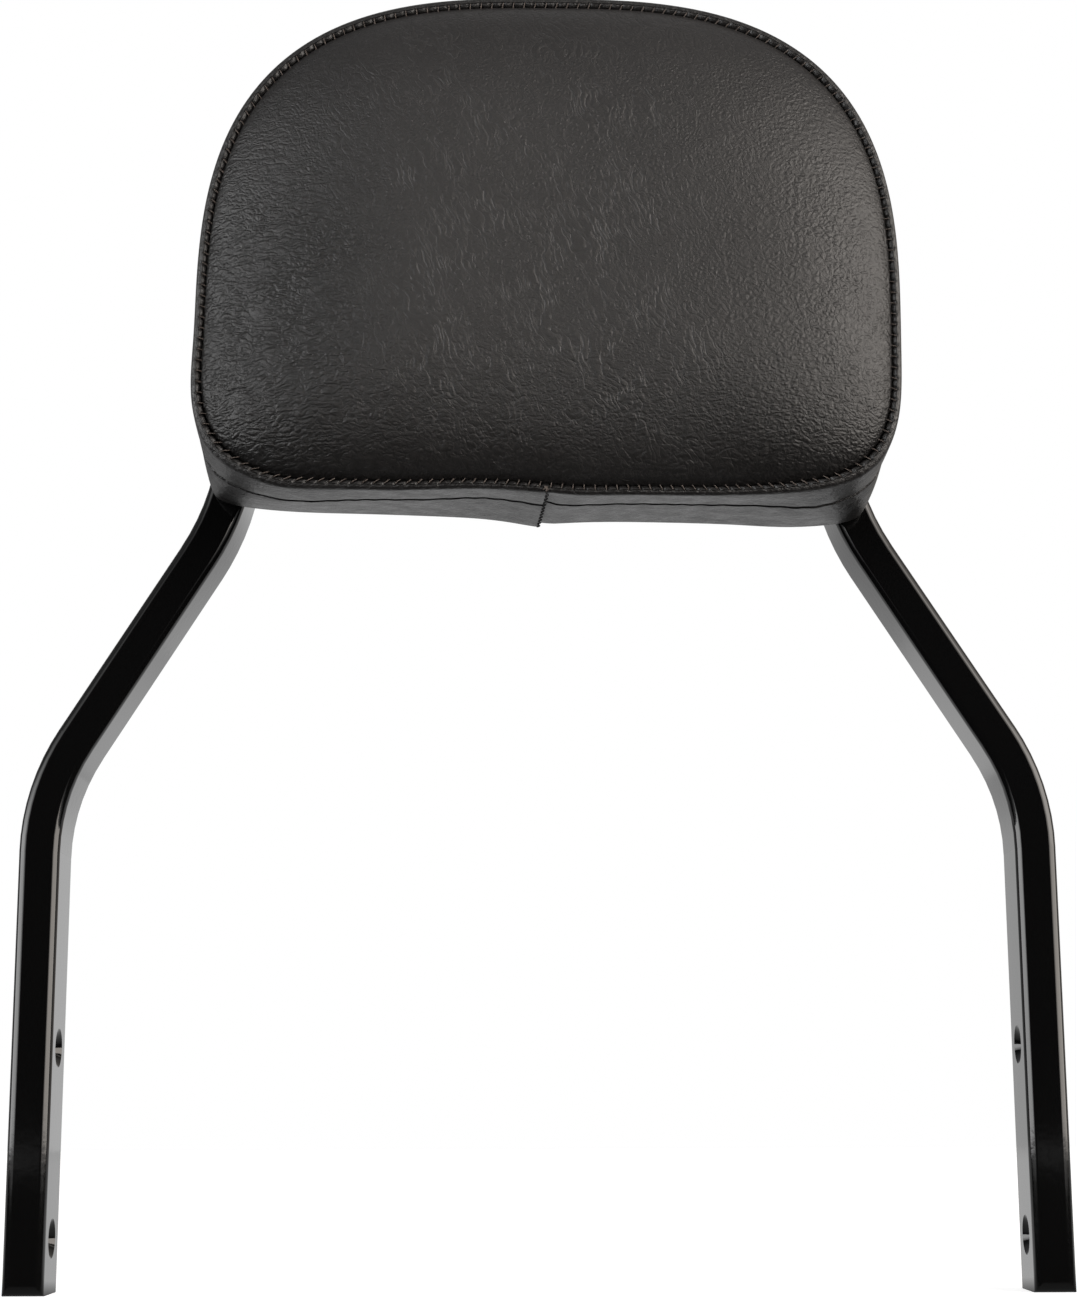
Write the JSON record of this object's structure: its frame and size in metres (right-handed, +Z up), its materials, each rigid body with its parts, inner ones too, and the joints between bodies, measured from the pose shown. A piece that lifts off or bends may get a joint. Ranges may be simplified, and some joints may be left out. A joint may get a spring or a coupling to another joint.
{
  "type": "sissy bar",
  "caption": "Motorbike backrest: a bent rectangular bar with straight drilled legs, and a domed stitched pad bolted to flat straps across its upper end.",
  "frame": {"origin": "on the plane of the leg ends, midway between the legs, at the middle of the whole part's depth", "axes": "+X to the right with the pad towards the viewer, -Y out of the pad's face towards the rider, +Z up along the legs"},
  "size_m": [0.324, 0.0864, 0.3975],
  "materials": {
    "gloss_black_paint": "gloss black paint on steel",
    "black_vinyl": "black grained vinyl, soft sheen",
    "back_cloth": "plain black woven cloth",
    "foam": "open-cell upholstery foam",
    "plywood": "plain plywood",
    "zinc_plate": "bright zinc plate on steel"
  },
  "bodies": {
    "root": {"upright_hoop": "gloss_black_paint", "upper_cross_strap": "gloss_black_paint", "lower_cross_strap": "gloss_black_paint", "pad_base_board": "plywood", "pad_foam": "foam", "pad_face_panel": "black_vinyl", "pad_border_strip": "black_vinyl", "pad_side_band": "black_vinyl", "pad_back_panel": "back_cloth", "pad_screw_upper_left": "zinc_plate", "pad_screw_upper_right": "zinc_plate", "pad_screw_lower_left": "zinc_plate", "pad_screw_lower_right": "zinc_plate", "lock_washer_upper_left": "zinc_plate", "lock_washer_upper_right": "zinc_plate", "lock_washer_lower_left": "zinc_plate", "lock_washer_lower_right": "zinc_plate", "flat_washer_upper_left": "zinc_plate", "flat_washer_upper_right": "zinc_plate", "flat_washer_lower_left": "zinc_plate", "flat_washer_lower_right": "zinc_plate", "tee_nut_upper_left": "zinc_plate", "tee_nut_upper_right": "zinc_plate", "tee_nut_lower_left": "zinc_plate", "tee_nut_lower_right": "zinc_plate"}
  },
  "joints": []
}
